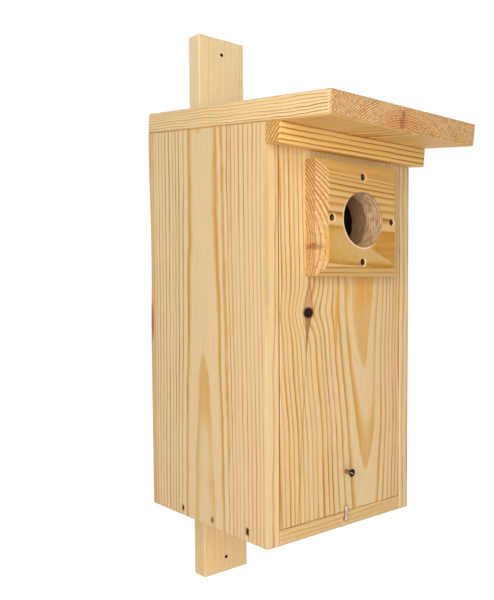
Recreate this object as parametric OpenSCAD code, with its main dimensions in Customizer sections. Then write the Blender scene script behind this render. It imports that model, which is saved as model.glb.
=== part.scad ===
// Nest box for starlings: an unpainted pine box that hangs on a tree or wall by a long batten.
// The front panel stands on the floor between the sides. A cleat under the roof holds its top
// and a turn hook in the floor's front edge holds its bottom, so it comes out for cleaning.
// Origin: centre of the batten's back face. The entrance looks along -Y, +Z is up.

/* [Box] */
// Width across both sides
box_w = 180; // [150:1:260]
// Depth from the front panel's face to the back wall's back
box_d = 190; // [160:1:260]
// Height of the sides at their front edge
front_h = 356; // [300:1:480]
// Fall of the roof towards the front, in degrees
roof_fall = 5.4; // [0:0.1:15]
// How far the roof reaches past the front panel, measured level
roof_overhang = 77; // [40:1:120]

/* [Boards] */
// Thickness of the two sides
side_t = 14; // [12:0.5:24]
// Thickness of the floor
floor_t = 14; // [12:0.5:24]
// Thickness of the front panel
panel_t = 18; // [14:0.5:24]
// Thickness of the back wall
back_t = 18; // [14:0.5:24]
// Thickness of the roof
roof_t = 20; // [16:0.5:30]
// Rounding along the planed edges of the boards
arris = 1.2; // [0.4:0.1:2]
// Rounding along the outer upright edges of the sides
side_arris = 3; // [1.2:0.1:5]
// Rounding along the edges of the roof
roof_arris = 3; // [0.4:0.1:4]
// Depth of the shallow wane in the back edge of the left side
wane_depth = 4.5; // [1:0.5:6]
// Length of that wane up the edge
wane_len = 200; // [100:5:220]
// Height of the wane's middle over the bottom of the box
wane_z = 258; // [200:1:280]

/* [Front panel] */
// Gap between the panel and each side, so that it slides out
panel_gap = 0.6; // [0.3:0.1:1.5]
// Air gap between the panel's top edge and the roof
panel_top_gap = 6; // [3:0.5:9]
// Height of the pull screw over the bottom of the box
pull_z = 51.5; // [40:0.5:90]
// Distance of the pull screw to the right of the box's middle
pull_x = 2; // [-20:0.5:20]
// How far the pull screw's head stands in front of the panel
pull_stand = 8.5; // [6:0.5:14]

/* [Cleat] */
// Depth of the cleat under the roof
cleat_t = 18; // [14:0.5:26]
// Height of the cleat, square to the roof
cleat_h = 17.2; // [14:0.1:30]

/* [Entrance] */
// Diameter of the entrance
entrance_d = 49; // [26:0.5:60]
// Distance from the cleat's lowest edge down to the middle of the entrance
entrance_drop = 56; // [55:1:140]
// Distance of the entrance to the right of the box's middle
entrance_x = 3.5; // [-8:0.5:8]
// Width and height of the guard block
block_w = 100; // [84:1:108]
// Thickness of the guard block
block_t = 21; // [16:0.5:40]
// Width of the bevel along the block's four front edges
block_bevel = 8.4; // [2:0.1:12]
// Distance of the block's screws from the middle of the entrance
block_screw_r = 37.4; // [34:0.1:38]

/* [Mounting batten] */
// Length of the batten
batten_len = 584; // [520:1:800]
// Width of the batten
batten_w = 57; // [50:1:90]
// Thickness of the batten
batten_t = 20; // [16:0.5:30]
// How far the batten reaches below the box
batten_below = 97; // [60:1:130]
// Distance of each nail hole from its end of the batten
nail_hole_inset = 16.5; // [10:0.5:40]
// Diameter of the nail holes
nail_hole_d = 3; // [2.5:0.1:6]

/* [Turn hook] */
// Diameter of the hook's wire
hook_d = 3; // [2:0.1:5]
// Height of the hook's leg over the middle of its shank
hook_leg = 13.2; // [11:0.1:20]
// Radius of the bend, to the middle of the wire
hook_bend = 3; // [2.6:0.1:5]
// Gap between the leg and the front panel
hook_gap = 1.2; // [0.5:0.1:3]
// Length of the hook's shank inside the floor
hook_grip = 26; // [15:1:40]

/* [Fasteners] */
// Diameter of the screws' shanks
screw_d = 3.2; // [2.5:0.1:5]
// Diameter of the sunk screws' heads
screw_head_d = 6; // [5:0.1:9]
// Depth of the sunk screw heads below the wood
screw_sink = 1.6; // [0.2:0.1:3]
// How much wider than the head the wood is pressed in around a sunk screw, on each side
screw_mouth = 0.7; // [0.1:0.1:1.5]
// Length of the block's screws
block_screw_len = 32; // [24:1:34]
// Length of the batten's screws
batten_screw_len = 30; // [25:1:35]
// Diameter of the pull screw's head
pull_head_d = 7.4; // [6:0.1:10]
// Length of the pull screw
pull_screw_len = 24; // [20:1:26]
// Diameter of the nails
nail_d = 1.8; // [1.4:0.1:3]
// Diameter of the nails' heads
nail_head_d = 2.4; // [2:0.1:4]
// Depth of the nail heads below the wood
nail_sink = 1.8; // [0.5:0.1:3]
// Length of the nails
nail_len = 40; // [30:1:50]
// Length of the cleat's nails
cleat_nail_len = 32; // [25:1:33]
// Distance of the floor's first nails from the front
floor_nail_inset = 28; // [20:1:40]
// Distance from one of the floor's nails to the next
floor_nail_pitch = 52; // [40:1:60]
// Distance of the roof's first and last nails from the ends of the sides
roof_nail_inset = 26; // [20:1:50]

/* [Floor] */
// Diameter of the drain holes
drain_d = 6; // [4:0.5:10]
// Distance of the drain holes from the walls around them
drain_inset = 20; // [14:1:40]

/* [Hidden] */
$fn = 48;
// Cuts reach this far past the faces they open
past = 1;
// Radial clearance of a fastener in its hole
fit = 0.05;

back_y = -batten_t;
front_y = back_y - box_d;
bottom_z = -batten_len / 2 + batten_below;
front_top_z = bottom_z + front_h;
back_top_z = front_top_z + box_d * tan(roof_fall);
inner_w = box_w - 2 * side_t;
floor_d = box_d - back_t;
roof_len = (box_d + roof_overhang) / cos(roof_fall);
panel_w = inner_w - 2 * panel_gap;
panel_h = front_h - panel_top_gap - floor_t;
// The cleat stands square to the roof, its lower back edge against the sides
cleat_back = cleat_h * tan(roof_fall);
cleat_low_z = front_top_z - cleat_h * cos(roof_fall) - (cleat_t + cleat_back) * sin(roof_fall);
entrance_at = [entrance_x, front_y, cleat_low_z - entrance_drop];
pull_at = [pull_x, front_y, bottom_z + pull_z];
hook_at = [0, front_y, bottom_z + floor_t / 2];
hook_leg_y = -hook_gap - hook_d / 2;
screw_head_h = (screw_head_d - screw_d) / 2;
pull_head_h = (pull_head_d - screw_d) / 2;
nail_head_h = 1;
// A cross recess: its depth, the width of its wings and its radii, as shares of the head
recess_depth = 0.36;
recess_wing = 0.18;
recess_low_r = 0.14;
recess_top_r = 0.42;
// The torn mouth of a nail hole: its width across the grain, its height, its lean and its depth
tear_w = 4;
tear_h = 6;
tear_lean = 1.2;
tear_depth = 2.4;

// Where each floor nail wandered to from its mark: along the side, then up
floor_nail_drift = [[0, 2.4], [2, 0], [0, 0.8]];
// Size of the torn mouth around each floor nail, against tear_w and tear_h
floor_nail_tear = [1.4, 0.8, 1.1];
// Roof nails per side, spread evenly between the first and the last
roof_nails = 3;
// Batten screws, their distance from the batten's middle and from the back wall's two ends
batten_screw_x = batten_w / 4;
batten_screw_inset = 40;

pine = [0.91, 0.77, 0.55];
pale_pine = [0.93, 0.81, 0.61];
zinc = [0.72, 0.73, 0.74];
steel = [0.55, 0.55, 0.53];

// A rectangle from the origin with round corners
module round_rect(size, r) {
    translate([r, 0]) square([size.x - 2 * r, size.y]);
    translate([0, r]) square([size.x, size.y - 2 * r]);
    for (x = [r, size.x - r], y = [r, size.y - r])
        translate([x, y]) circle(r);
}

// A planed board from the origin, its twelve edges rounded by r
module board(size, r = arris) {
    intersection() {
        linear_extrude(size.z) round_rect([size.x, size.y], r);
        translate([0, size.y, 0]) rotate([90, 0, 0])
            linear_extrude(size.y) round_rect([size.x, size.z], r);
        rotate([90, 0, 90]) linear_extrude(size.x) round_rect([size.y, size.z], r);
    }
}

// Puts children on the roof's underside, at the front panel's face, with Y up the slope
module on_roof() {
    translate([0, front_y, front_top_z]) rotate([roof_fall, 0, 0]) children();
}

// Trims children along the underside of the roof
module under_roof() {
    difference() {
        children();
        on_roof() translate([-box_w, -box_d, 0]) cube([2 * box_w, 3 * box_d, front_h]);
    }
}

// The space of a pin along -Z with its head's top at the origin: head, shank and point
module pin_solid(head_d, head_h, shank_d, len, grow = 0) {
    head_r = head_d / 2 + grow;
    shank_r = shank_d / 2 + grow;
    rotate_extrude() polygon([[0, 0], [head_r, 0], [shank_r, -head_h],
        [shank_r, -len + shank_d], [0, -len]]);
}

// A cross recess in a screw's head, tapered towards its bottom
module cross_recess(head_d) {
    depth = head_d * recess_depth;
    wing = head_d * recess_wing;
    translate([0, 0, -depth]) intersection() {
        cylinder(h = depth + past, r1 = head_d * recess_low_r, r2 = head_d * recess_top_r);
        for (turn = [0, 90])
            rotate(turn) translate([-head_d / 2, -wing / 2, 0])
                cube([head_d, wing, depth + past]);
    }
}

// A countersunk screw along -Z, the top of its head at the origin
module screw(head_d, head_h, len) {
    difference() {
        pin_solid(head_d, head_h, screw_d, len);
        cross_recess(head_d);
    }
}

// The hole of a screw sunk below a face at the origin, its mouth pressed wider than the head
module screw_hole(head_d, head_h, len, sink) {
    head_r = head_d / 2 + fit;
    translate([0, 0, -sink]) pin_solid(head_d, head_h, screw_d, len, fit);
    translate([0, 0, -sink]) cylinder(h = sink, r1 = head_r, r2 = head_r + screw_mouth);
    cylinder(h = past, r = head_r + screw_mouth);
}

// A nail along -Z, the top of its head at the origin
module nail(len = nail_len) {
    rotate_extrude() polygon([[0, 0], [nail_head_d / 2, 0], [nail_head_d / 2, -nail_head_h],
        [nail_d / 2, -nail_head_h], [nail_d / 2, -len + 2 * nail_d], [0, -len]]);
}

// The hole of a nail sunk below a face at the origin
module nail_hole(len = nail_len) {
    translate([0, 0, -nail_sink - nail_head_h])
        cylinder(h = nail_sink + nail_head_h + past, d = nail_head_d + 2 * fit);
    translate([0, 0, -nail_sink - len])
        cylinder(h = len, d = nail_d + 2 * fit);
}

// The torn, slanting mouth that a driven nail leaves in a side, along -Z from a face at the origin
module nail_tear(size) {
    translate([0, 0, -tear_depth]) linear_extrude(tear_depth + past) scale(size)
        polygon([[-tear_w / 2, -tear_h / 4], [tear_lean, -tear_h / 2],
            [tear_w / 2, tear_h / 4], [-tear_lean, tear_h / 2]]);
}

// Places of the fasteners: each turns children so that +Z leaves the wood
module at_block_screw(side) {
    translate(entrance_at + [0, -block_t, 0]) rotate([90, 0, 0])
        rotate(90 * side) translate([block_screw_r, 0, 0]) children();
}

module at_batten_screw(x_side, upper) {
    z = upper ? back_top_z - batten_screw_inset : bottom_z + batten_screw_inset;
    translate([x_side * batten_screw_x, 0, z]) rotate([-90, 0, 0]) children();
}

module at_floor_nail(x_side, n) {
    drift = floor_nail_drift[n];
    y = front_y + floor_nail_inset + n * floor_nail_pitch + drift[0];
    translate([x_side * box_w / 2, y, bottom_z + floor_t / 2 + drift[1]])
        rotate([0, x_side * 90, 0]) children();
}

module at_back_floor_nail(x_side) {
    translate([x_side * inner_w / 3, back_y, bottom_z + floor_t / 2]) rotate([-90, 0, 0]) children();
}

module at_roof_nail(x_side, n) {
    run = floor_d - 2 * roof_nail_inset;
    y = (roof_nail_inset + n * run / (roof_nails - 1)) / cos(roof_fall);
    on_roof() translate([x_side * (box_w - side_t) / 2, y, roof_t]) children();
}

module at_back_roof_nail(x_side) {
    on_roof() translate([x_side * inner_w / 3, (box_d - back_t / 2) / cos(roof_fall), roof_t]) children();
}

module at_cleat_nail(x_side) {
    on_roof() translate([x_side * inner_w / 3, -cleat_back - cleat_t / 2, roof_t]) children();
}

module at_pull_screw() {
    translate(pull_at + [0, -pull_stand, 0]) rotate([90, 0, 0]) children();
}

module floor_nail_holes(x_side) {
    for (n = [0 : len(floor_nail_drift) - 1])
        at_floor_nail(x_side, n) nail_hole();
}

module roof_nail_holes(x_side) {
    for (n = [0 : roof_nails - 1])
        at_roof_nail(x_side, n) nail_hole();
}

// The left side before its holes: a board with its two outer upright edges rounded further
module side_board() {
    side_h = back_top_z - bottom_z + 2 * arris;
    under_roof() translate([-box_w / 2, front_y, bottom_z]) intersection() {
        board([side_t, box_d, side_h]);
        linear_extrude(side_h) round_rect([side_t + 2 * side_arris, box_d], side_arris);
    }
}

// One side with its nail holes, its outer face at x_side * box_w / 2
module side_wall(x_side) {
    difference() {
        mirror([x_side < 0 ? 0 : 1, 0, 0]) side_board();
        floor_nail_holes(x_side);
        for (n = [0 : len(floor_nail_drift) - 1])
            at_floor_nail(x_side, n) rotate(90) nail_tear(floor_nail_tear[n]);
        roof_nail_holes(x_side);
    }
}

// A long shallow hollow in the back edge of the left side, where the tree's round edge shows
module wane() {
    r = (pow(wane_len / 2, 2) + pow(wane_depth, 2)) / (2 * wane_depth);
    translate([-box_w / 2 - past, back_y - wane_depth + r, bottom_z + wane_z])
        rotate([0, 90, 0]) cylinder(h = side_t + 2 * past, r = r, $fn = 360);
}

module left_wall() color(pine) difference() {
    side_wall(-1);
    wane();
}

module right_wall() color(pine) side_wall(1);

module back_wall() color(pale_pine) difference() {
    under_roof() translate([-inner_w / 2, back_y - back_t, bottom_z])
        board([inner_w, back_t, back_top_z - bottom_z + 2 * arris]);
    for (x_side = [-1, 1]) {
        at_back_floor_nail(x_side) nail_hole();
        at_back_roof_nail(x_side) nail_hole();
        for (upper = [false, true])
            at_batten_screw(x_side, upper) screw_hole(screw_head_d, screw_head_h, batten_screw_len, screw_sink);
    }
}

module floor() color(pale_pine) difference() {
    translate([-inner_w / 2, front_y, bottom_z]) board([inner_w, floor_d, floor_t]);
    for (x_side = [-1, 1]) {
        floor_nail_holes(x_side);
        at_back_floor_nail(x_side) nail_hole();
        for (y = [panel_t + drain_inset, floor_d - drain_inset])
            translate([x_side * (inner_w / 2 - drain_inset), front_y + y, bottom_z - past])
                cylinder(h = floor_t + 2 * past, d = drain_d);
    }
    translate(hook_at) rotate([-90, 0, 0])
        translate([0, 0, -past]) cylinder(h = hook_grip + past, d = hook_d + 2 * fit);
}

module roof() color(pine) difference() {
    on_roof() translate([-box_w / 2, -roof_overhang / cos(roof_fall), 0])
        board([box_w, roof_len, roof_t], roof_arris);
    for (x_side = [-1, 1]) {
        roof_nail_holes(x_side);
        at_back_roof_nail(x_side) nail_hole();
        at_cleat_nail(x_side) nail_hole(cleat_nail_len);
    }
}

module cleat() color(pine) difference() {
    on_roof() translate([-box_w / 2, -cleat_back - cleat_t, -cleat_h])
        board([box_w, cleat_t, cleat_h]);
    for (x_side = [-1, 1])
        at_cleat_nail(x_side) nail_hole(cleat_nail_len);
}

module entrance_bore() {
    translate(entrance_at + [0, -block_t - past, 0]) rotate([-90, 0, 0])
        cylinder(h = block_t + panel_t + 2 * past, d = entrance_d, $fn = 96);
}

module block_screw_holes() {
    for (side = [0 : 3])
        at_block_screw(side) screw_hole(screw_head_d, screw_head_h, block_screw_len, screw_sink);
}

module front_panel() color(pine) difference() {
    translate([-panel_w / 2, front_y, bottom_z + floor_t]) board([panel_w, panel_t, panel_h]);
    entrance_bore();
    block_screw_holes();
    at_pull_screw() pin_solid(pull_head_d, pull_head_h, screw_d, pull_screw_len, fit);
}

// Half the guard block's section: square at the back, bevelled at the front
module block_section() {
    half = block_w / 2;
    polygon([[-half, 0], [half, 0], [half, block_t - block_bevel], [half - block_bevel, block_t],
        [block_bevel - half, block_t], [-half, block_t - block_bevel]]);
}

module entrance_block() color(pine) difference() {
    translate(entrance_at) intersection() {
        translate([0, 0, -block_w / 2]) rotate(180) linear_extrude(block_w) block_section();
        translate([-block_w / 2, 0, 0]) rotate([90, 0, 90]) rotate(90)
            linear_extrude(block_w) block_section();
    }
    entrance_bore();
    block_screw_holes();
}

module mounting_batten() color(pale_pine) difference() {
    translate([-batten_w / 2, -batten_t, -batten_len / 2]) board([batten_w, batten_t, batten_len]);
    for (end = [-1, 1])
        translate([0, past, end * (batten_len / 2 - nail_hole_inset)]) rotate([90, 0, 0])
            cylinder(h = batten_t + 2 * past, d = nail_hole_d);
    for (x_side = [-1, 1], upper = [false, true])
        at_batten_screw(x_side, upper) screw_hole(screw_head_d, screw_head_h, batten_screw_len, screw_sink);
}

// The turn hook: a shank in the floor's front edge, a quarter bend and a leg with a round tip
module turn_hook() color(zinc) translate(hook_at) {
    translate([0, hook_leg_y + hook_bend, 0]) rotate([-90, 0, 0])
        cylinder(h = hook_grip - hook_bend - hook_leg_y - past, d = hook_d);
    translate([0, hook_leg_y + hook_bend, hook_bend]) rotate([0, 90, 0]) rotate(-90)
        rotate_extrude(angle = 90) translate([hook_bend, 0]) circle(d = hook_d);
    translate([0, hook_leg_y, hook_bend]) cylinder(h = hook_leg - hook_bend - hook_d / 2, d = hook_d);
    translate([0, hook_leg_y, hook_leg - hook_d / 2]) sphere(d = hook_d);
}

module pull_screw() color(steel)
    at_pull_screw() screw(pull_head_d, pull_head_h, pull_screw_len);

module block_screw(side) color(steel)
    at_block_screw(side) translate([0, 0, -screw_sink])
        screw(screw_head_d, screw_head_h, block_screw_len);

module batten_screw(x_side, upper) color(steel)
    at_batten_screw(x_side, upper) translate([0, 0, -screw_sink])
        screw(screw_head_d, screw_head_h, batten_screw_len);

module floor_nail(x_side, n) color(steel)
    at_floor_nail(x_side, n) translate([0, 0, -nail_sink]) nail();

module back_floor_nail(x_side) color(steel)
    at_back_floor_nail(x_side) translate([0, 0, -nail_sink]) nail();

module roof_nail(x_side, n) color(steel)
    at_roof_nail(x_side, n) translate([0, 0, -nail_sink]) nail();

module back_roof_nail(x_side) color(steel)
    at_back_roof_nail(x_side) translate([0, 0, -nail_sink]) nail();

module cleat_nail(x_side) color(steel)
    at_cleat_nail(x_side) translate([0, 0, -nail_sink]) nail(cleat_nail_len);

left_wall();
right_wall();
back_wall();
floor();
roof();
cleat();
front_panel();
entrance_block();
mounting_batten();
turn_hook();
pull_screw();
block_screw(0);  // block_screw_right
block_screw(1);  // block_screw_top
block_screw(2);  // block_screw_left
block_screw(3);  // block_screw_bottom
batten_screw(-1, true);  // batten_screw_upper_left
batten_screw(1, true);  // batten_screw_upper_right
batten_screw(-1, false);  // batten_screw_lower_left
batten_screw(1, false);  // batten_screw_lower_right
floor_nail(-1, 0);  // left_floor_nail_front
floor_nail(-1, 1);  // left_floor_nail_middle
floor_nail(-1, 2);  // left_floor_nail_back
floor_nail(1, 0);  // right_floor_nail_front
floor_nail(1, 1);  // right_floor_nail_middle
floor_nail(1, 2);  // right_floor_nail_back
back_floor_nail(-1);  // back_floor_nail_left
back_floor_nail(1);  // back_floor_nail_right
roof_nail(-1, 0);  // left_roof_nail_front
roof_nail(-1, 1);  // left_roof_nail_middle
roof_nail(-1, 2);  // left_roof_nail_back
roof_nail(1, 0);  // right_roof_nail_front
roof_nail(1, 1);  // right_roof_nail_middle
roof_nail(1, 2);  // right_roof_nail_back
back_roof_nail(-1);  // back_roof_nail_left
back_roof_nail(1);  // back_roof_nail_right
cleat_nail(-1);  // cleat_nail_left
cleat_nail(1);  // cleat_nail_right
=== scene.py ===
"""Looks of a pine nest box: boards sawn from logs with their rings, steel screws and a zinc hook."""

import math

import bpy
import numpy as np
from mathutils import Euler, Matrix, Vector


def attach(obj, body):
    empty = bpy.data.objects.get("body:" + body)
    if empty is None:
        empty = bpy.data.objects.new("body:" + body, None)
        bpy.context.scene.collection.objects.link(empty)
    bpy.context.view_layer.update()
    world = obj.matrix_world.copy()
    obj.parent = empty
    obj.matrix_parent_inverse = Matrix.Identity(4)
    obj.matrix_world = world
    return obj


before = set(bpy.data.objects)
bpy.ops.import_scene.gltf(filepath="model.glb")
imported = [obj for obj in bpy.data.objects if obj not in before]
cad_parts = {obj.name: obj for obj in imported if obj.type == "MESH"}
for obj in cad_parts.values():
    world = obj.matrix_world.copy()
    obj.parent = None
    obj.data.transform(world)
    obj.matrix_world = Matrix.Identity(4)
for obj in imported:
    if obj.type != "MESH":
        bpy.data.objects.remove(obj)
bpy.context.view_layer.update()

MM = 0.001


# ---------------------------------------------------------------- small helpers


def srgb(red, green, blue):
    """A colour given as 0 to 255 per channel, as the linear values that a shader takes."""
    def linear(value):
        value /= 255
        return value / 12.92 if value <= 0.04045 else ((value + 0.055) / 1.055) ** 2.4
    return (linear(red), linear(green), linear(blue), 1.0)


class Sketch:
    """Adds linked nodes to one node tree, so that a pattern reads from top to bottom. The functions that
    draw with one call it s."""

    def __init__(self, tree):
        self.tree = tree

    def feed(self, socket, value):
        if isinstance(value, bpy.types.NodeSocket):
            self.tree.links.new(value, socket)
        else:
            socket.default_value = value

    def add(self, kind, inputs=(), **settings):
        node = self.tree.nodes.new(kind)
        for name, value in settings.items():
            setattr(node, name, value)
        for name, value in dict(inputs).items():
            self.feed(node.inputs[name], value)
        return node

    def math(self, operation, *values, clamp=False):
        node = self.add("ShaderNodeMath", operation=operation, use_clamp=clamp)
        for socket, value in zip(node.inputs, values):
            self.feed(socket, value)
        return node.outputs[0]

    def product(self, first, *others):
        for other in others:
            first = self.math("MULTIPLY", first, other)
        return first

    def vector(self, operation, *values):
        """A vector, or the plain number that a length, a distance or a dot product gives."""
        node = self.add("ShaderNodeVectorMath", operation=operation)
        for socket, value in zip(node.inputs, values):
            self.feed(socket, value)
        plain = operation in ("LENGTH", "DISTANCE", "DOT_PRODUCT")
        return node.outputs["Value" if plain else "Vector"]

    def split(self, vector):
        return self.add("ShaderNodeSeparateXYZ", {"Vector": vector}).outputs

    def join(self, x, y, z):
        return self.add("ShaderNodeCombineXYZ", {"X": x, "Y": y, "Z": z}).outputs[0]

    def step(self, value, low, high, to_low=0.0, to_high=1.0):
        """Goes smoothly from to_low to to_high as value goes from low to high."""
        inputs = {"Value": value, "From Min": low, "From Max": high, "To Min": to_low, "To Max": to_high}
        return self.add("ShaderNodeMapRange", inputs, interpolation_type="SMOOTHSTEP").outputs[0]

    def fall(self, value, low, high):
        """Goes smoothly from 1 to 0 as value goes from low to high."""
        return self.step(value, low, high, 1.0, 0.0)

    def noise(self, vector, stretch, seed=0.0, detail=1.0):
        """Noise with its own number of ups and downs per millimetre along each axis."""
        scaled = self.vector("MULTIPLY", vector, stretch)
        inputs = {"Vector": scaled, "W": seed, "Scale": 1.0, "Detail": detail}
        return self.add("ShaderNodeTexNoise", inputs, noise_dimensions="4D").outputs["Fac"]

    def mix(self, factor, first, second, blend="MIX"):
        node = self.add("ShaderNodeMix", data_type="RGBA", blend_type=blend)
        for socket, value in zip((node.inputs[0], node.inputs[6], node.inputs[7]), (factor, first, second)):
            self.feed(socket, value)
        return node.outputs[2]

    def group(self, tree, inputs):
        """Places a node group, fed with its named inputs."""
        return self.add("ShaderNodeGroup", inputs, node_tree=tree).outputs


def node_group(name, inputs, outputs):
    """An empty node group with its named sockets: returns the group, its sketch, inputs and output node."""
    group = bpy.data.node_groups.new(name, "ShaderNodeTree")
    for title, (kind, value) in inputs.items():
        socket = group.interface.new_socket(title, in_out="INPUT", socket_type="NodeSocket" + kind)
        if value is not None:
            socket.default_value = value
    for title, kind in outputs.items():
        group.interface.new_socket(title, in_out="OUTPUT", socket_type="NodeSocket" + kind)
    sketch = Sketch(group)
    return group, sketch, sketch.add("NodeGroupInput").outputs, sketch.add("NodeGroupOutput").inputs


def new_material(name):
    """An empty material: returns it, its sketch and its Principled BSDF."""
    material = bpy.data.materials.new(name)
    material.use_nodes = True
    material.node_tree.nodes.clear()
    sketch = Sketch(material.node_tree)
    shader = sketch.add("ShaderNodeBsdfPrincipled")
    sketch.add("ShaderNodeOutputMaterial", {"Surface": shader.outputs[0]})
    return material, sketch, shader


def millimetres(sketch):
    """The place on the part in millimetres."""
    place = sketch.add("ShaderNodeTexCoord").outputs["Object"]
    return sketch.vector("MULTIPLY", place, (1 / MM,) * 3)


def paint(material, *nodes):
    """Gives nodes of the frame a material in place of their own."""
    for node in nodes:
        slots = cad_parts[node].data.materials
        slots.clear()
        slots.append(material)


# ---------------------------------------------------------------- places on the box, in millimetres


def corners_of(node):
    """The lowest and the highest corner of a node's box."""
    corners = np.array(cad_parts[node].bound_box) / MM
    return corners.min(axis=0).round(3).tolist(), corners.max(axis=0).round(3).tolist()


def middle_of(node):
    low, high = corners_of(node)
    return [(first + last) / 2 for first, last in zip(low, high)]


wall_low, wall_high = corners_of("left_wall")
block_low, block_high = corners_of("entrance_block")
SIDE = -wall_low[0]                               # the outer faces of the side walls, from the middle
INNER = -wall_high[0]                             # their inner faces
FRONT = wall_low[1]                               # the front edges of the side walls and the panel's face
BACK = wall_high[1]                               # the back edges of the side walls
PANEL_BACK = corners_of("front_panel")[1][1]      # the panel's inner face
CHAMBER_BACK = corners_of("back_wall")[0][1]      # the back wall's inner face
BATTEN_END = corners_of("mounting_batten")[1][2]  # the batten's upper end, as far up as its foot is down
BLOCK_FACE = block_low[1]
BLOCK_TOP = block_high[2]
BLOCK_HALF = (block_high[0] - block_low[0]) / 2
ENTRANCE = middle_of("entrance_block")
BORE = 24.5                                       # the entrance's radius


# ---------------------------------------------------------------- wood patterns


def make_log():
    """How far a point lies from the pith of its log. The pith wanders and ripples along the grain, and
    may shift aside from one height to another. Lean widens the rings on one side of the pith."""
    group, s, given, out = node_group(
        "log",
        {"Vector": ("Vector", None), "Lean": ("Float", 0.0), "Shift": ("Vector", None),
         "Shift From": ("Float", 0.0), "Shift To": ("Float", 1.0), "Wander": ("Float", 1.5),
         "Ripple": ("Float", 0.6), "Seed": ("Float", 0.0)},
        {"Radius": "Float"})
    height = s.split(given["Vector"])[2]
    risen = s.step(height, given["Shift From"], given["Shift To"])
    shifted = s.vector("MULTIPLY", given["Shift"], s.join(risen, risen, risen))
    x, y, _ = s.split(s.vector("SUBTRACT", given["Vector"], shifted))
    x = s.math("MULTIPLY_ADD", s.math("MAXIMUM", x, 0.0), given["Lean"], x)
    radius = s.math("SQRT", s.math("MULTIPLY_ADD", x, x, s.math("MULTIPLY", y, y)))
    slow = s.noise(given["Vector"], (0.012, 0.012, 0.006), given["Seed"])
    brisk = s.noise(given["Vector"], (0.06, 0.06, 0.024), given["Seed"], 2.0)
    for unrest, size in ((slow, given["Wander"]), (brisk, given["Ripple"])):
        swing = s.math("MULTIPLY", size, 4.0)
        radius = s.math("MULTIPLY_ADD", s.math("SUBTRACT", unrest, 0.5), swing, radius)
    s.feed(out["Radius"], radius)
    return group


def make_pine():
    """Planed pine for a count of year rings. Each ring goes from pale early wood over amber late wood, which
    takes up the given share of the ring, to a thin brown line with a sharp outer edge. Rings differ in all
    of this and fade in and out along the board. Across the grain the wood is browner and specked."""
    group, s, given, out = node_group(
        "pine",
        {"Vector": ("Vector", None), "Count": ("Float", 0.0), "Share": ("Float", 0.5),
         "Strength": ("Float", 1.0), "Line": ("Float", 1.0), "Seed": ("Float", 0.0),
         "Early": ("Color", (0.8, 0.6, 0.36, 1)), "Amber": ("Color", (0.7, 0.4, 0.15, 1)),
         "Late": ("Color", (0.6, 0.3, 0.1, 1)), "End Grain": ("Float", 0.0),
         "End Tint": ("Color", (0.9, 0.8, 0.65, 1))},
        {"Color": "Color", "Roughness": "Float", "Height": "Float"})
    place, seed = given["Vector"], given["Seed"]

    ring = s.math("FLOOR", given["Count"])
    part = s.math("FRACT", given["Count"])
    chance = s.add("ShaderNodeTexWhiteNoise", {"W": s.math("ADD", ring, seed)}, noise_dimensions="1D")
    width, strength, tone = s.split(chance.outputs["Color"])
    uneven = s.noise(place, (0.08, 0.08, 0.014), seed, 2.0)
    strength = s.product(s.math("MULTIPLY_ADD", strength, 0.5, 0.5), s.step(uneven, 0.3, 0.7, 0.5, 1.15))

    width = s.math("MULTIPLY", given["Share"], s.math("MULTIPLY_ADD", width, 0.4, 0.8))
    start = s.math("SUBTRACT", 1.0, width)
    outer = s.fall(part, 0.93, 1.0)
    gold = s.product(s.step(part, start, s.math("ADD", start, 0.35)), outer)
    gold = s.math("MULTIPLY", gold, s.product(strength, given["Strength"]), clamp=True)
    brown = s.product(s.step(part, s.math("MULTIPLY_ADD", start, 0.5, 0.42), 0.9), outer)
    crisp = s.product(given["Line"], s.math("ADD", given["End Grain"], 1.0))
    brown = s.math("MULTIPLY", brown, s.product(strength, crisp), clamp=True)
    early = s.mix(s.math("MULTIPLY", tone, 0.2), given["Early"], given["Amber"])
    color = s.mix(brown, s.mix(gold, early, given["Amber"]), given["Late"])

    patch = s.noise(place, (0.03, 0.03, 0.008), seed, 2.0)
    tint = s.mix(s.step(patch, 0.35, 0.65), srgb(252, 251, 243), srgb(255, 250, 246))
    color = s.mix(1.0, color, tint, "MULTIPLY")
    fibre = s.noise(place, (1.2, 1.2, 0.03), seed, 2.0)
    cross = s.noise(place, (0.1, 0.1, 0.7), seed, 1.0)
    shade = s.product(s.step(fibre, 0.3, 0.7, 0.93, 1.03), s.step(cross, 0.25, 0.75, 0.985, 1.012))
    color = s.mix(1.0, color, s.join(shade, shade, shade), "MULTIPLY")
    speck = s.noise(place, (0.75, 0.75, 0.4), seed, 1.0)
    fleck = s.mix(s.step(speck, 0.3, 0.7), (1.11, 1.11, 1.11, 1), srgb(226, 211, 194))
    across = s.mix(1.0, s.mix(1.0, color, fleck, "MULTIPLY"), given["End Tint"], "MULTIPLY")
    s.feed(out["Color"], s.mix(given["End Grain"], color, across))

    s.feed(out["Roughness"], s.math("MULTIPLY_ADD", fibre, 0.2, s.math("MULTIPLY_ADD", brown, -0.08, 0.5)))
    s.feed(out["Height"], s.math("MULTIPLY_ADD", fibre, 0.6, s.math("MULTIPLY", brown, 0.5)))
    return group


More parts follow.
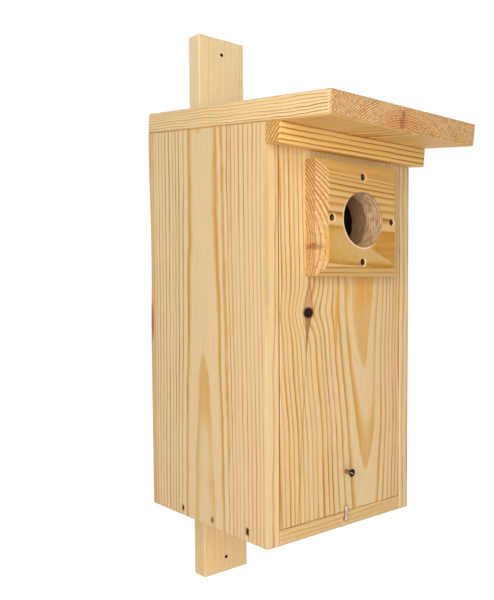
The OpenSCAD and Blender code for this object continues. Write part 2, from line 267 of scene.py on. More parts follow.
def make_knot():
    """A small dead knot through a board, as seen on the board's face (X across, Z along the grain).
    It sweeps the rings aside: a point takes its rings from further along X, less and less away from the
    knot. Core is the knot, Halo the ring of stained wood around it, Gap the resinous spindle above and
    below, Rim that spindle's edge and Below the knot's lower half."""
    group, s, given, out = node_group(
        "knot",
        {"Vector": ("Vector", None), "Place": ("Vector", None), "Radius": ("Float", 5.0),
         "Sweep": ("Float", 10.0), "Reach": ("Float", 16.0), "Slant": ("Float", 0.0)},
        {"Vector": "Vector", "Core": "Float", "Halo": "Float", "Gap": "Float", "Rim": "Float",
         "Below": "Float"})
    x, _, z = s.split(s.vector("SUBTRACT", given["Vector"], given["Place"]))
    apart = s.math("ABSOLUTE", s.math("MULTIPLY_ADD", z, s.math("MULTIPLY", given["Slant"], -1.0), x))
    rise = s.math("DIVIDE", z, given["Reach"])
    hill = s.math("EXPONENT", s.product(rise, rise, -1.0))
    fade = s.math("EXPONENT", s.math("DIVIDE", apart, s.math("MULTIPLY", given["Reach"], -1.2)))
    moved = s.math("MULTIPLY", given["Sweep"], s.product(hill, fade))
    s.feed(out["Vector"], s.vector("ADD", given["Vector"], s.join(moved, 0.0, 0.0)))

    ragged = s.noise(given["Vector"], (0.5, 0.5, 0.5), 2.0, 2.0)
    core = s.math("SQRT", s.math("MULTIPLY_ADD", x, x, s.product(z, z, 1.35)))
    core = s.math("DIVIDE", s.math("MULTIPLY_ADD", ragged, 1.6, core), given["Radius"])
    s.feed(out["Core"], s.fall(core, 1.06, 1.2))
    s.feed(out["Halo"], s.fall(core, 1.2, 1.55))
    steep = s.math("MAXIMUM", s.product(rise, rise, 0.64), s.math("MULTIPLY", rise, -1.15))
    width = s.math("MULTIPLY", given["Radius"], s.math("EXPONENT", s.math("MULTIPLY", steep, -1.0)))
    inside = s.math("SUBTRACT", width, apart)
    s.feed(out["Gap"], s.step(inside, -0.5, 0.6))
    s.feed(out["Rim"], s.fall(s.math("ABSOLUTE", s.math("SUBTRACT", inside, 0.5)), 0.4, 1.3))
    s.feed(out["Below"], s.fall(z, -1.0, 1.0))
    return group


LOG = make_log()
PINE = make_pine()
KNOT = make_knot()


def blot(s, place, middle, size):
    """How far inside a soft oval a point lies: 1 in its middle, 0 from its edge outwards."""
    offset = s.vector("DIVIDE", s.vector("SUBTRACT", place, middle), size)
    ragged = s.noise(place, (0.25, 0.25, 0.25), 3.0, 2.0)
    return s.fall(s.math("ADD", s.vector("LENGTH", offset), ragged), 0.7, 1.5)


# ---------------------------------------------------------------- marks on single boards
# Each mark takes the place, the normal, and the colour and height so far. It returns the colour and height
# with the mark on them.


def streak(low, high, width, tone, strength):
    """A resin streak along a board's side, from a low to a high point. It fades inwards over its width,
    breaks off at a ragged outer edge on the side of falling Y, and comes and goes along the board."""
    low, high = Vector(low), Vector(high)
    run = (high - low).normalized()
    outward = run.cross(Vector((-1, 0, 0)))

    def mark(s, place, normal, color, height):
        offset = s.vector("SUBTRACT", place, low)
        risen = s.math("DIVIDE", s.vector("DOT_PRODUCT", offset, run), (high - low).length)
        aside = s.vector("DOT_PRODUCT", offset, outward)
        bend = s.noise(s.join(0.0, 0.0, risen), (1, 1, 7), low.z + low.y, 2.0)
        torn = s.noise(place, (0.3, 0.3, 0.1), low.y, 2.0)
        aside = s.math("MULTIPLY_ADD", s.math("SUBTRACT", bend, 0.5), 5.0, aside)
        aside = s.math("MULTIPLY_ADD", s.math("SUBTRACT", torn, 0.5), 2.5, aside)
        body = s.product(s.step(aside, -width, -0.2 * width), s.fall(aside, 0.0, 0.8))
        ends = s.product(s.step(risen, 0.0, 0.12), s.fall(risen, 0.88, 1.0))
        come = s.step(s.noise(s.join(0.0, 0.0, risen), (1, 1, 11), low.x, 1.0), 0.3, 0.6, 0.35, 1.0)
        return s.mix(s.product(body, ends, come, strength), color, tone), height

    return mark


def resin(middle, size, tone, strength):
    """A soft patch soaked with resin, streaked along the grain of an upright board."""
    def mark(s, place, normal, color, height):
        patch = blot(s, place, middle, size)
        lines = s.step(s.noise(place, (0.35, 0.35, 0.02), middle[0], 2.0), 0.35, 0.65, 0.3, 1.0)
        return s.mix(s.product(patch, lines, strength), color, tone), height

    return mark


def from_bore(s, place):
    """X and Z from the middle of the entrance, and how far a point lies from its axis."""
    x, _, z = s.split(s.vector("SUBTRACT", place, ENTRANCE))
    return x, z, s.math("SQRT", s.math("MULTIPLY_ADD", x, x, s.math("MULTIPLY", z, z)))


def bore_wall(s, place, normal, color, height):
    """The entrance's wall, left rough by the hole saw: pale chips in the block, grey-brown in the panel,
    and dark where they meet. The panel's part lies deeper in the bore; its darker colour is partly that
    wood's own and partly painted shade of the depth."""
    radius = from_bore(s, place)[2]
    inward = s.fall(s.math("ABSOLUTE", s.split(normal)[1]), 0.3, 0.7)
    inside = s.product(s.fall(radius, BORE + 0.7, BORE + 1.3), inward)
    chips = s.noise(place, (0.16, 1.5, 0.16), 1.0, 2.0)
    in_block = s.mix(s.step(chips, 0.38, 0.6), srgb(156, 116, 78), srgb(234, 200, 156))
    # The panel's part, deeper in the bore, is painted darker: partly its own wood, partly painted shade.
    in_panel = s.mix(s.step(chips, 0.3, 0.7), srgb(128, 92, 64), srgb(176, 136, 102))
    depth = s.math("SUBTRACT", s.split(place)[1], FRONT)
    wall = s.mix(s.step(depth, -1.5, 1.5), in_block, in_panel)
    joint = s.step(s.math("ABSOLUTE", depth), 0.2, 0.7, 0.35, 0.0)
    wall = s.mix(joint, wall, srgb(84, 54, 32))
    rough = s.product(chips, inside, 14.0)
    return s.mix(s.math("MULTIPLY", inside, 0.92), color, wall), s.math("ADD", height, rough)


def bore_rim_highlight(s, place, normal, color, height):
    """A painted highlight on the entrance's rim at its lower left, where a slight chamfer catches the light.
    """
    x, z, radius = from_bore(s, place)
    lower_left = s.fall(s.math("ADD", x, z), -22.0, 4.0)
    rim = s.product(s.fall(radius, BORE + 0.7, BORE + 1.9), lower_left)
    face = s.step(s.math("ABSOLUTE", s.split(normal)[1]), 0.6, 0.9)
    # Painted highlight: the rim's lower left is painted pale.
    return s.mix(s.product(rim, face, 0.75), color, srgb(250, 222, 176)), height


def sapwood(s, place, normal, color, height):
    """The paler wood near the bark, along the back of the left side."""
    near_back = s.step(s.split(place)[1], BACK - 90, BACK - 30)
    return s.mix(near_back, color, (1.06, 1.09, 1.14, 1), "MULTIPLY"), height


def bark_edge(s, place, normal, color, height):
    """The tree's round edge left on the back of the left side: warm, dull wood and a fleck of bark."""
    y = s.split(place)[1]
    patch = s.noise(place, (0.02, 0.05, 0.02), 6.0, 1.0)
    warm = s.product(s.step(y, BACK - 18, BACK - 2), s.step(patch, 0.3, 0.6, 0.2, 0.6))
    color = s.mix(warm, color, srgb(222, 160, 98))
    color = s.mix(s.step(y, BACK - 16, BACK - 4), color, (0.91, 0.94, 0.92, 1), "MULTIPLY")
    bark = blot(s, place, (-SIDE, BACK - 5, -8), (8, 4.5, 26))
    return s.mix(s.math("MULTIPLY", bark, 0.85), color, srgb(146, 92, 50)), height


def shaded_corner(s, place, normal, color, height):
    """The rounded front corner of the left side, painted a little darker than its faces: painted shade that
    tones down the light the corner catches.
    """
    x, y, _ = s.split(normal)
    both = s.step(s.math("MULTIPLY", x, y), 0.02, 0.3)
    # Painted shade on the corner, where its faces turn to the lamp.
    return s.mix(both, color, (0.83, 0.83, 0.81, 1), "MULTIPLY"), height


def nail_pits(s, place, normal, color, height):
    """The torn pits over the floor's nails, with a smudge around each. Below the face of the side the pits
    are painted dark: partly the torn wood's own colour, partly painted shade in the pits.
    """
    x, y, z = s.split(place)
    below = s.fall(s.math("ABSOLUTE", x), SIDE - 1.1, SIDE - 0.2)
    flat = s.join(0.0, y, z)
    pits = smudges = 0.0
    for spot in ("front", "middle", "back"):
        nail = [0.0] + middle_of("left_floor_nail_" + spot)[1:]
        pits = s.math("MAXIMUM", pits, s.fall(s.vector("DISTANCE", flat, nail), 5.0, 6.0))
        smudges = s.math("MAXIMUM", smudges, blot(s, flat, nail, (9, 4.2, 6.0)))
    color = s.mix(s.math("MULTIPLY", smudges, 0.6), color, srgb(142, 94, 54))
    # Painted shade, with the torn wood's own darker colour: the pits below the face are painted dark.
    return s.mix(s.product(pits, below), color, srgb(92, 56, 24)), height


def chamber_shade(s, place, normal, color, height):
    """The faces of the walls that close the nest chamber, painted dark: painted shade inside the chamber."""
    x, y, _ = s.split(place)
    across = s.fall(s.math("ABSOLUTE", x), INNER + 0.3, INNER + 1.0)
    forward = s.fall(y, CHAMBER_BACK + 0.4, CHAMBER_BACK + 1.0)
    behind = s.step(y, PANEL_BACK - 3.0, PANEL_BACK)
    # Painted shade on the chamber's inner faces.
    return s.mix(s.product(across, forward, behind, 0.7), color, srgb(96, 66, 40)), height


def darker_floor_top(s, place, normal, color, height):
    """The upper face of the floor, painted darker than its planed front edge."""
    up = s.step(s.split(normal)[2], 0.6, 0.9)
    return s.mix(s.math("MULTIPLY", up, 0.7), color, srgb(140, 100, 58)), height


def gap_shaded_edges(s, place, normal, color, height):
    """The long narrow edges of the front panel, painted dark: painted shade in the narrow gaps beside the
    side walls. The wall of the bore isn't one.
    """
    sideways = s.step(s.math("ABSOLUTE", s.split(normal)[0]), 0.6, 0.9)
    outer = s.step(s.math("ABSOLUTE", s.split(place)[0]), 60.0, 62.0)
    # Painted shade on the panel's edges, in the gaps beside the walls.
    return s.mix(s.product(sideways, outer, 0.85), color, srgb(148, 92, 40)), height


def lit_top(s, place, normal, color, height):
    """The panel's top, painted pale above the guard block and less so beside that: painted light that lifts
    the cleat's shadow there. Also a paler patch at the block's left."""
    x, _, z = s.split(place)
    aside = s.math("ABSOLUTE", s.math("SUBTRACT", x, ENTRANCE[0]))
    paler = s.step(aside, BLOCK_HALF - 1.0, BLOCK_HALF + 6.0, 0.65, 0.2)
    above = s.step(z, BLOCK_TOP - 6.0, BLOCK_TOP + 2.0)
    # Painted light on the strip in the cleat's shadow.
    color = s.mix(s.product(above, paler), color, srgb(255, 228, 166))
    beside = blot(s, place, (-64, FRONT, 84), (26, 20, 62))
    return s.mix(beside, color, (1.04, 1.09, 1.15, 1), "MULTIPLY"), height


def shaded_foot(s, place, normal, color, height):
    """The lower end of the batten, painted a little darker than its top: painted shade as the light falls
    off downwards.
    """
    low = s.fall(s.split(place)[2], -200.0, 100.0)
    # Painted shade, darker towards the foot.
    return s.mix(low, color, (0.93, 0.86, 0.77, 1), "MULTIPLY"), height


def shaded_nail_bores(s, place, normal, color, height):
    """The walls of the batten's two nail holes, painted dark: painted shade inside the holes."""
    x, _, z = s.split(place)
    away = s.join(x, 0.0, s.math("SUBTRACT", s.math("ABSOLUTE", z), BATTEN_END - 16.5))
    near = s.fall(s.vector("LENGTH", away), 1.7, 2.2)
    # Painted shade in the nail holes.
    return s.mix(near, color, srgb(44, 26, 14)), height


def block_resin(s, place, normal, color, height):
    """Resin in the guard block's face: a golden patch at the lower left with paler wood over it, and at the
    lower right a darker patch with a slanting edge over a pale notch."""
    x, y, z = s.split(place)
    ragged = s.noise(place, (0.12, 0.12, 0.12), 5.0, 2.0)
    ragged = s.math("MULTIPLY", s.math("SUBTRACT", ragged, 0.5), 8.0)
    ragged_x = s.math("ADD", x, ragged)
    slant = s.math("ADD", s.math("MULTIPLY_ADD", x, 0.42, z), ragged)

    face = s.fall(y, BLOCK_FACE + 1.0, BLOCK_FACE + 2.0)
    band = s.product(s.step(z, 50.0, 52.5), s.fall(z, 74.5, 77.0))
    left = s.product(band, face, s.fall(ragged_x, -6.0, 2.0))
    color = s.mix(s.math("MULTIPLY", left, 0.85), color, srgb(202, 145, 60))

    notch = s.product(s.fall(slant, 64.0, 66.0), s.step(x, -4.0, 14.0), s.step(z, 48.5, 51.5))
    pale = s.math("MAXIMUM", notch, blot(s, place, (-8, BLOCK_FACE, 65), (42, 14, 23)))
    color = s.mix(s.math("MULTIPLY", pale, 0.9), color, srgb(203, 165, 101))

    lines = s.step(s.noise(place, (0.03, 0.1, 0.3), 2.0, 3.0), 0.35, 0.65, 0.7, 1.0)
    right = s.product(s.step(slant, 65.0, 67.0), s.fall(z, 75.5, 77.0), lines, s.step(ragged_x, 8.0, 22.0))
    return s.mix(right, color, srgb(188, 132, 44)), height


def lit_top_bevel(s, place, normal, color, height):
    """The guard block's top bevel, painted paler than its face: painted light that lifts the cleat's shadow
    on it.
    """
    up = s.step(s.split(normal)[2], 0.4, 0.6)
    # Painted light on the bevel, in the cleat's shadow.
    return s.mix(s.math("MULTIPLY", up, 0.72), color, srgb(244, 214, 136)), height


def screw_highlights_and_shade(s, place, normal, color, height):
    """The pale rims around the screws in the guard block, painted as highlights of their lit countersinks,
    and painted shade in their recesses.
    """
    x, y, z = s.split(place)
    flat = s.join(x, 0.0, z)
    near = 99.0
    for side in ("right", "left", "top", "bottom"):
        screw_x, _, screw_z = middle_of("block_screw_" + side)
        near = s.math("MINIMUM", near, s.vector("DISTANCE", flat, (screw_x, 0.0, screw_z)))
    rim = s.product(s.step(near, 3.0, 3.3), s.fall(near, 3.7, 4.5))
    # Painted highlight: the pale rim around each screw.
    color = s.mix(s.math("MULTIPLY", rim, 0.5), color, srgb(244, 212, 160))
    # Painted shade in the recesses.
    sunk = s.product(s.fall(near, 3.0, 3.2), s.step(y, BLOCK_FACE + 0.1, BLOCK_FACE + 0.5))
    return s.mix(sunk, color, srgb(72, 44, 24)), height


def block_check(s, place, normal, color, height):
    """A brown drying check across the left end of the guard block."""
    end = s.step(s.math("MULTIPLY", s.split(normal)[0], -1.0), 0.4, 0.8)
    line = blot(s, place, (-46, BLOCK_FACE + 10, 61), (8, 17, 4.5))
    return s.mix(s.product(line, end, 0.8), color, srgb(146, 84, 46)), height


def roof_check(s, place, normal, color, height):
    """A brown drying check in the front end of the roof, in reddish wood."""
    end = s.step(s.math("MULTIPLY", s.split(normal)[1], -1.0), 0.4, 0.8)
    around = s.product(blot(s, place, (-10, -288, 160), (34, 10, 12)), end)
    color = s.mix(s.math("MULTIPLY", around, 0.2), color, srgb(200, 124, 80))
    color = s.mix(around, color, (0.94, 0.83, 0.76, 1), "MULTIPLY")
    top = blot(s, place, (-8.5, -288, 167), (3.6, 10, 4.5))
    foot = blot(s, place, (-9.5, -288, 160), (4.2, 10, 6.5))
    broken = s.step(s.noise(place, (0.35, 0.35, 0.6), 8.0, 2.0), 0.35, 0.55, 0.5, 1.0)
    check = s.product(s.math("MAXIMUM", top, foot), broken, end)
    return s.mix(s.math("MULTIPLY", check, 0.85), color, srgb(134, 74, 34)), height


def bounce_tinted_underside(s, place, normal, color, height):
    """The roof's underside, tinted warmer in streaks along its grain: the warm tint is painted bounce light
    under the roof.
    """
    below = s.step(s.math("MULTIPLY", s.split(normal)[2], -1.0), 0.5, 0.8)
    lines = s.step(s.noise(place, (0.12, 0.006, 0.1), 4.0, 2.0), 0.35, 0.65)
    warm_tint = s.mix(lines, srgb(255, 253, 228), srgb(255, 236, 198))
    # Painted bounce light: the underside's warm tint.
    return s.mix(below, color, s.mix(1.0, color, warm_tint, "MULTIPLY")), height


# ---------------------------------------------------------------- boards

EARLY = srgb(234, 206, 162)
AMBER = srgb(220, 170, 88)
LATE = srgb(176, 119, 56)
GOLD = srgb(218, 156, 60)
HONEY = srgb(203, 153, 66)

# Each board is cut from its own place in a log, in millimetres: pith is a point on the pith, grain the way
# the pith runs, and across a direction across the board. Shift moves the pith aside between the two heights
# in rise, lean widens the rings on one side of it, and wander and ripple are its slow and its brisk unrest.
# Growth gives the count of year rings at some distances from the pith. At some counts of rings, share gives
# how much of a ring is late wood, bold how strongly that shows and line how strong its brown line is.
# Strong makes the lines stronger inside a soft oval, or weaker where its last number is negative. Early,
# amber and late are the colours of the early wood, the late wood and its line, and end tints the end grain.
BOARDS = {
    "left_wall": dict(
        pith=(-32.74, -116.8, 0), grain=(0, 0, 1), across=(0, -1, 0), shift=(0, 4.3, 0), rise=(-200, 95),
        seed=1.3, wander=0.5, ripple=0.5,
        growth=((0, 0), (59.8, 14), (66, 15), (73.8, 17), (80.3, 19), (98.5, 23), (111, 26), (150, 38)),
        share=((0, 0.5), (13, 0.45), (14, 0.4), (15, 0.45), (38, 0.5)),
        bold=((0, 1), (14, 1.4), (15, 1.0), (16, 1.2), (17, 0.7), (18, 0.8), (19, 1.4), (20, 1.3),
              (22, 0.7), (38, 0.7)),
        line=((0, 0.1), (13, 0.1), (14, 0.6), (15, 1.0), (16, 1.3), (17, 0.6), (18, 0.8), (19, 1.4),
              (20, 1.3), (21, 0.8), (22, 0.75), (38, 0.7)),
        strong=((-SIDE, -66, 0), (10, 30, 400), 1.1),
        marks=(
            sapwood,
            streak((-SIDE, -149, -190), (-SIDE, -139, 215), 5.0, HONEY, 0.8),
            streak((-SIDE, -159, -150), (-SIDE, -147, 215), 6.5, HONEY, 0.9),
            streak((-SIDE, -166, -60), (-SIDE, -158, 215), 3.5, HONEY, 0.55),
            streak((-SIDE, -94, -60), (-SIDE, -95, 215), 2.5, HONEY, 0.7),
            resin((-SIDE, -111, 172), (8, 9, 9), HONEY, 0.8),
            bark_edge, shaded_corner, nail_pits)),
    "right_wall": dict(
        pith=(20, -95, 0), grain=(1 / 70, 0.01, 1), across=(0, 1, 0), seed=5.1,
        growth=((0, 0), (60, 16), (150, 44)),
        marks=(chamber_shade, nail_pits)),
    "back_wall": dict(
        pith=(12, 30, 0), grain=(0.01, 1 / 60, 1), across=(1, 0, 0), seed=9.4,
        growth=((0, 0), (60, 16), (150, 42)),
        marks=(chamber_shade,)),
    "floor": dict(
        pith=(0, -90, -260), grain=(1, 0.01, 1 / 40), across=(0, 1, 0), shift=(-22, 0, 0), rise=(46, 90),
        seed=3.7, growth=((0, 0), (60, 22), (150, 62)),
        bold=((0, 0.7), (62, 0.7)), line=((0, 0.6), (62, 0.6)),
        early=srgb(224, 191, 141),
        marks=(darker_floor_top,)),
    "roof": dict(
        pith=(0.5, -210, 96), grain=(0, 0.9956, 0.0941), across=(1, 0, 0), seed=2.2, wander=0.8, ripple=0.8,
        growth=((0, 0), (60, 20), (80, 30), (110, 46), (140, 64)), share=((0, 0.55), (85, 0.55)),
        bold=((0, 1.2), (28, 1.2), (29, 0.6), (85, 0.8)),
        line=((0, 1.2), (28, 1.2), (29, 0.5), (33, 0.5), (34, 0.9), (37, 0.9), (39, 0.5), (85, 0.6)),
        strong=((-84, -287, 160), (34, 200, 26), 2.0),
        early=srgb(243, 214, 166), late=srgb(176, 106, 56), end=(0.84, 0.76, 0.68, 1),
        marks=(roof_check, bounce_tinted_underside)),
    "cleat": dict(
        pith=(0, -262, 109), grain=(1, 0.002, 0), across=(0, 1, 0), seed=4.4, wander=0.6, ripple=0.4,
        growth=((0, 0), (150, 45)), share=((0, 0.6), (88, 0.6)), bold=((0, 1.3), (88, 1.3)),
        line=((0, 1.0), (88, 1.0)),
        early=srgb(241, 203, 131), amber=srgb(224, 166, 76), late=srgb(150, 90, 34),
        end=(0.9, 0.82, 0.78, 1)),
    "front_panel": dict(
        pith=(29.5, -174.15, 0), grain=(0, -1 / 21, 1), across=(1, 0, 0), lean=0.2, shift=(-5, 0, 0),
        rise=(-110, -25), seed=6.6, wander=0.5, ripple=0.45,
        growth=((0, 0), (38, 8), (42.6, 9), (48, 10), (61.5, 13), (65.3, 14), (76.3, 16), (113.4, 24),
                (150, 33)),
        share=((0, 1.3), (7, 1.3), (8, 0.55), (9, 0.5), (33, 0.6)),
        bold=((0, 0.72), (7, 0.72), (8, 1.1), (9, 1.3), (33, 1.3)),
        line=((0, 0.05), (7, 0.05), (8, 0.25), (9, 0.55), (11, 0.8), (12, 1.1), (13, 1.2), (14, 0.85),
              (19, 0.85), (21, 1.0), (23, 0.7), (33, 0.7)),
        strong=((-21, FRONT, -150), (15, 10, 50), 0.9),
        early=srgb(230, 201, 155), amber=srgb(218, 165, 84), late=srgb(177, 119, 56),
        knot={"Place": (-43.4, 0, 4.1), "Radius": 5.2, "Sweep": 11.0, "Reach": 16.0, "Slant": 0.07},
        marks=(
            gap_shaded_edges,
            resin((25, FRONT, 21), (16, 12, 27), GOLD, 0.95),
            resin((4, FRONT, 24), (5, 12, 16), GOLD, 0.7),
            resin((-10, FRONT, -4), (3, 12, 52), GOLD, 0.9),
            lit_top, bore_wall)),
    "entrance_block": dict(
        pith=(3.5, -151, 62), grain=(1, 0, -0.043), across=(0, 0, 1), seed=8.8, wander=0.3, ripple=0.25,
        growth=((0, 0), (78.7, 25), (81.7, 26), (84.8, 27), (93, 30), (97.9, 32), (101.8, 34), (106.5, 35),
                (120, 45)),
        share=((0, 0.5), (24, 0.5), (25, 0.45), (26, 0.6), (33, 0.6), (34, 1.3), (35, 0.6), (45, 0.6)),
        bold=((0, 1.6), (45, 1.6)),
        line=((0, 0.6), (24, 0.7), (25, 0.9), (26, 1.2), (30, 1.3), (33, 0.9), (34, 0.05), (35, 0.9),
              (45, 0.9)),
        strong=((-46, -216, 58), (18, 30, 34), -0.5),
        early=srgb(220, 182, 121), amber=srgb(200, 146, 58), late=srgb(156, 100, 34),
        end=(0.92, 0.98, 1.12, 1),
        marks=(block_resin, lit_top_bevel, screw_highlights_and_shade, bore_rim_highlight, bore_wall, block_check)),
    "mounting_batten": dict(
        pith=(95, -10, 0), grain=(0.01, 0.004, 1), across=(1, 0, 0), seed=7.5,
        growth=((0, 0), (150, 60)), bold=((0, 0.6), (100, 0.6)), line=((0, 0.5), (100, 0.5)),
        # The batten's colours are painted paler than the other boards': painted light that makes up for the
        # key lamp's light the roof holds off its upper end.
        early=srgb(255, 232, 188), amber=srgb(255, 212, 144), late=srgb(232, 164, 100),
        marks=(shaded_foot, shaded_nail_bores)),
}


def log_turn(grain, across):
    """The turn that puts Z along the grain and X across the board."""
    z = Vector(grain).normalized()
    y = z.cross(Vector(across)).normalized()
    return Matrix((y.cross(z), y, z)).transposed().to_euler()


def along(s, value, points, most):
    """A value read from straight lines between given points, none of them higher than most."""
    far = points[-1][0]
    node = s.add("ShaderNodeFloatCurve", {"Value": s.math("DIVIDE", value, far)})
    curve = node.mapping.curves[0]
    for place, height in points[1:-1]:
        curve.points.new(place / far, height / most)
    curve.points[0].location = (0, points[0][1] / most)
    curve.points[-1].location = (1, points[-1][1] / most)
    for point in curve.points:
        point.handle_type = "VECTOR"
    node.mapping.update()
    return s.math("MULTIPLY", node.outputs[0], most)


def stain_knot(s, place, knot, seed, color):
    """The colour with a knot on it: the stained spindle and its edge, the halo and the dark core."""
    warm_tint = s.mix(knot["Below"], srgb(198, 148, 96), srgb(146, 104, 56))
    flecks = s.step(s.noise(place, (0.9, 0.9, 0.25), seed, 2.0), 0.3, 0.65, 0.5, 0.95)
    color = s.mix(s.product(knot["Gap"], flecks), color, warm_tint)
    color = s.mix(s.math("MULTIPLY", knot["Rim"], 0.55), color, srgb(148, 96, 50))
    color = s.mix(s.math("MULTIPLY", knot["Halo"], 0.85), color, srgb(138, 78, 46))
    return s.mix(knot["Core"], color, srgb(31, 6, 0))


def make_board(name, pith, grain, across, growth, seed, lean=0.0, shift=(0, 0, 0), rise=(0, 1), wander=1.5,
               ripple=0.5, share=((0, 0.5), (100, 0.5)), bold=((0, 1), (100, 1)), line=((0, 1), (100, 1)),
               strong=None, early=EARLY, amber=AMBER, late=LATE, end=(0.88, 0.8, 0.7, 1), knot=None,
               marks=()):
    """The wood of one board, cut from its own place in its log."""
    material, s, shader = new_material(name + "_pine")
    place = millimetres(s)
    wood_place = place
    if knot:
        knot = s.group(KNOT, dict(knot, Vector=place))
        wood_place = knot["Vector"]
    turned = {"Vector": wood_place, "Location": pith, "Rotation": log_turn(grain, across)}
    in_log = s.add("ShaderNodeMapping", turned, vector_type="TEXTURE").outputs[0]
    radius = s.group(LOG, {"Vector": in_log, "Lean": lean, "Shift": shift, "Shift From": rise[0],
                           "Shift To": rise[1], "Wander": wander, "Ripple": ripple, "Seed": seed})["Radius"]
    count = along(s, radius, growth, 100)
    ring = s.math("FLOOR", count)
    lines = along(s, ring, line, 2)
    if strong:
        middle, size, more = strong
        lines = s.product(lines, s.math("MULTIPLY_ADD", blot(s, place, middle, size), more, 1.0))
    normal = s.add("ShaderNodeNewGeometry").outputs["Normal"]
    facing = s.math("ABSOLUTE", s.vector("DOT_PRODUCT", normal, Vector(grain).normalized()))
    wood = s.group(PINE, {"Vector": in_log, "Count": count, "Share": along(s, ring, share, 2),
                          "Strength": along(s, ring, bold, 2), "Line": lines, "Seed": seed, "Early": early,
                          "Amber": amber, "Late": late, "End Grain": s.step(facing, 0.5, 0.8),
                          "End Tint": end})
    color, height, roughness = wood["Color"], wood["Height"], wood["Roughness"]
    if knot:
        color = stain_knot(s, place, knot, seed, color)
        roughness = s.math("MAXIMUM", roughness, knot["Core"])
    for mark in marks:
        color, height = mark(s, place, normal, color, height)
    s.feed(shader.inputs["Base Color"], color)
    s.feed(shader.inputs["Roughness"], roughness)
    shader.inputs["Specular IOR Level"].default_value = 0.3
    bump = s.add("ShaderNodeBump", {"Height": height, "Strength": 0.4, "Distance": 0.1 * MM})
    s.feed(shader.inputs["Normal"], bump.outputs[0])
    return material


# ---------------------------------------------------------------- metal


def make_metal(name, bright, dull, rough, dull_range=(0.35, 0.7), shank=None, spot=None):
    """A plated wire or screw: bright metal that goes dull where a noise passes between two given values; on
    the screw steel the bright patches left are painted glints. Over the stretch along Y that a shank gives,
    the dullness ends. A spot, by its X and Z, is a painted highlight."""
    material, s, shader = new_material(name)
    place = millimetres(s)
    patch = s.noise(place, (0.7, 0.7, 0.7), 0.0, 3.0)
    dull_mask = s.step(patch, *dull_range)
    if shank:
        dull_mask = s.product(dull_mask, s.fall(s.split(place)[1], *shank))
    color = s.mix(dull_mask, bright, dull)
    if spot:
        x, _, z = s.split(place)
        near = s.vector("DISTANCE", s.join(x, 0.0, z), (spot[0], 0.0, spot[1]))
        # Painted highlight at the spot.
        color = s.mix(s.fall(near, 0.6, 1.1), color, srgb(250, 240, 224))
    s.feed(shader.inputs["Base Color"], color)
    s.feed(shader.inputs["Roughness"], s.step(patch, 0.3, 0.75, rough, rough + 0.25))
    shader.inputs["Metallic"].default_value = 1.0
    return material


def screw_thread(name, start, length, core, crest, pitch, steps=24):
    """A thread on a screw that points along -Y from its start, all in millimetres: a triangular ridge
    carried along a helix. It turns once per pitch, in a number of steps, and its crest rises out of the
    core over the first and the last half turn."""
    turns = length / pitch
    angle = np.linspace(0, 2 * np.pi * turns, int(turns * steps) + 1)
    risen = np.clip(np.minimum(angle, angle[-1] - angle) / np.pi, 0.02, 1)
    root = np.full_like(angle, core)
    radius = np.stack([root, core + (crest - core) * risen, root], 1)
    x = start[0] + radius * np.cos(angle)[:, None]
    z = start[2] + radius * np.sin(angle)[:, None]
    y = start[1] - (length * angle / angle[-1])[:, None] - np.array([-0.3, 0.0, 0.3]) * pitch
    points = np.stack([x, y, z], 2).reshape(-1, 3) * MM
    first = np.arange(len(angle) - 1)[:, None] * 3
    flanks = [np.concatenate([first + near, first + far, first + far + 3, first + near + 3], 1)
              for near, far in ((0, 1), (1, 2), (2, 0))]
    last = len(points) - 3
    faces = np.concatenate(flanks).tolist() + [[2, 1, 0], [last, last + 1, last + 2]]
    mesh = bpy.data.meshes.new(name)
    mesh.from_pydata(points.tolist(), [], faces)
    mesh.update()
    piece = bpy.data.objects.new(name, mesh)
    bpy.context.scene.collection.objects.link(piece)
    return piece


# ---------------------------------------------------------------- the part

for name, cut in BOARDS.items():
    paint(make_board(name, **cut), name)

zinc = make_metal("zinc_wire", srgb(194, 178, 152), srgb(140, 126, 104), 0.3)
# The bright patches on the screw steel are painted glints.
steel = make_metal("screw_steel", srgb(214, 176, 120), srgb(58, 42, 28), 0.36, dull_range=(0.34, 0.46))
# The pull screw's spot is a painted highlight on its head.
pull = make_metal("pull_steel", srgb(122, 98, 74), srgb(52, 36, 22), 0.46, dull_range=(0.3, 0.36),
                  shank=(-216.6, -216.2), spot=(2.7, -144.0))
paint(zinc, "turn_hook")
paint(steel, *[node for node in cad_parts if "nail" in node or "screw" in node])
paint(pull, "pull_screw")

# The pull screw's thread, from just proud of the panel to the screw's head.
thread = screw_thread("pull_thread", (2.0, FRONT - 0.2, -143.5), length=6.0, core=1.6, crest=2.1, pitch=1.5)
thread.data.materials.append(pull)
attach(thread, "box")


# ---------------------------------------------------------------- floor, light and camera


def seen(s):
    """1 for what is seen, straight or in a mirror or through glass, and 0 for what only gives light."""
    ray = s.add("ShaderNodeLightPath").outputs
    mirrored = s.math("MAXIMUM", ray["Is Glossy Ray"], ray["Is Transmission Ray"])
    return s.math("MAXIMUM", ray["Is Camera Ray"], mirrored)


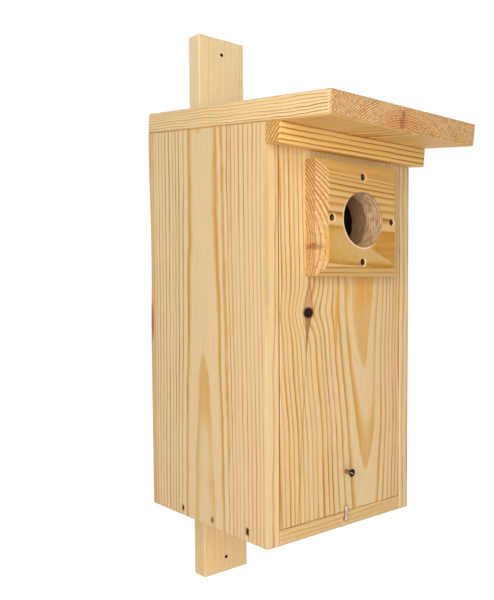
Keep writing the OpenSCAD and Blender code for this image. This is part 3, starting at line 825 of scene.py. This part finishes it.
def add_floor(height, reach):
    """A pale floor that reads as white and still takes the box's shadow."""
    material, s, shader = new_material("pale_floor")
    shader.inputs["Base Color"].default_value = (0.85, 0.85, 0.84, 1)
    shader.inputs["Roughness"].default_value = 0.9
    s.feed(shader.inputs["Emission Strength"], s.math("MULTIPLY", seen(s), 0.8))
    shader.inputs["Emission Color"].default_value = (1, 1, 1, 1)
    mesh = bpy.data.meshes.new("floor_plane")
    corners = [(x * reach, y * reach, height) for x, y in ((-1, -1), (1, -1), (1, 1), (-1, 1))]
    mesh.from_pydata(corners, [], [(0, 1, 2, 3)])
    mesh.materials.append(material)
    plane = bpy.data.objects.new("floor_plane", mesh)
    bpy.context.scene.collection.objects.link(plane)


def add_world(seen_strength, light_strength):
    """A white room: a strength for what is seen of it, and another for its light."""
    world = bpy.data.worlds.new("white_room")
    world.use_nodes = True
    world.node_tree.nodes.clear()
    s = Sketch(world.node_tree)
    strength = s.math("MULTIPLY_ADD", seen(s), seen_strength - light_strength, light_strength)
    shade = s.add("ShaderNodeBackground", {"Color": (1, 1, 1, 1), "Strength": strength})
    s.add("ShaderNodeOutputWorld", {"Surface": shade.outputs[0]})
    bpy.context.scene.world = world


def add_lamp(name, place, target, size, watts):
    """A square soft box that looks at its target."""
    data = bpy.data.lights.new(name, "AREA")
    data.size = size
    data.energy = watts
    lamp = bpy.data.objects.new(name, data)
    lamp.location = place
    lamp.rotation_euler = (Vector(target) - Vector(place)).to_track_quat("-Z", "Y").to_euler()
    bpy.context.scene.collection.objects.link(lamp)


def add_camera(place, yaw, pitch, lens, shift):
    """A camera at a place that looks yaw degrees to the right of +Y and pitch degrees down."""
    data = bpy.data.cameras.new("camera")
    data.lens = lens
    data.shift_x, data.shift_y = shift
    data.clip_start = 0.01
    camera = bpy.data.objects.new("camera", data)
    camera.location = place
    camera.rotation_euler = Euler((math.radians(90 - pitch), 0, math.radians(-yaw)))
    bpy.context.scene.collection.objects.link(camera)
    bpy.context.scene.camera = camera


add_floor(height=-1.0, reach=6.0)
add_world(seen_strength=1.02, light_strength=0.27)
add_lamp("key", (-0.66, -0.8, 0.18), (0, -0.15, 0), size=0.8, watts=8.42)
add_lamp("low_fill", (-0.5, -0.8, -0.9), (0, -0.15, 0), size=1.0, watts=5.8)
add_lamp("top_fill", (-0.55, -0.45, 0.75), (-0.02, -0.02, 0.27), size=0.4, watts=0.5)
add_lamp("back_fill", (0.8, 0.9, 0.5), (0, -0.1, 0), size=1.0, watts=7.0)
add_camera((-0.4617, -0.6873, 0.028), yaw=43.719, pitch=3.359, lens=43.758, shift=(-0.155, 0.047))
bpy.context.scene.view_settings.view_transform = "Standard"
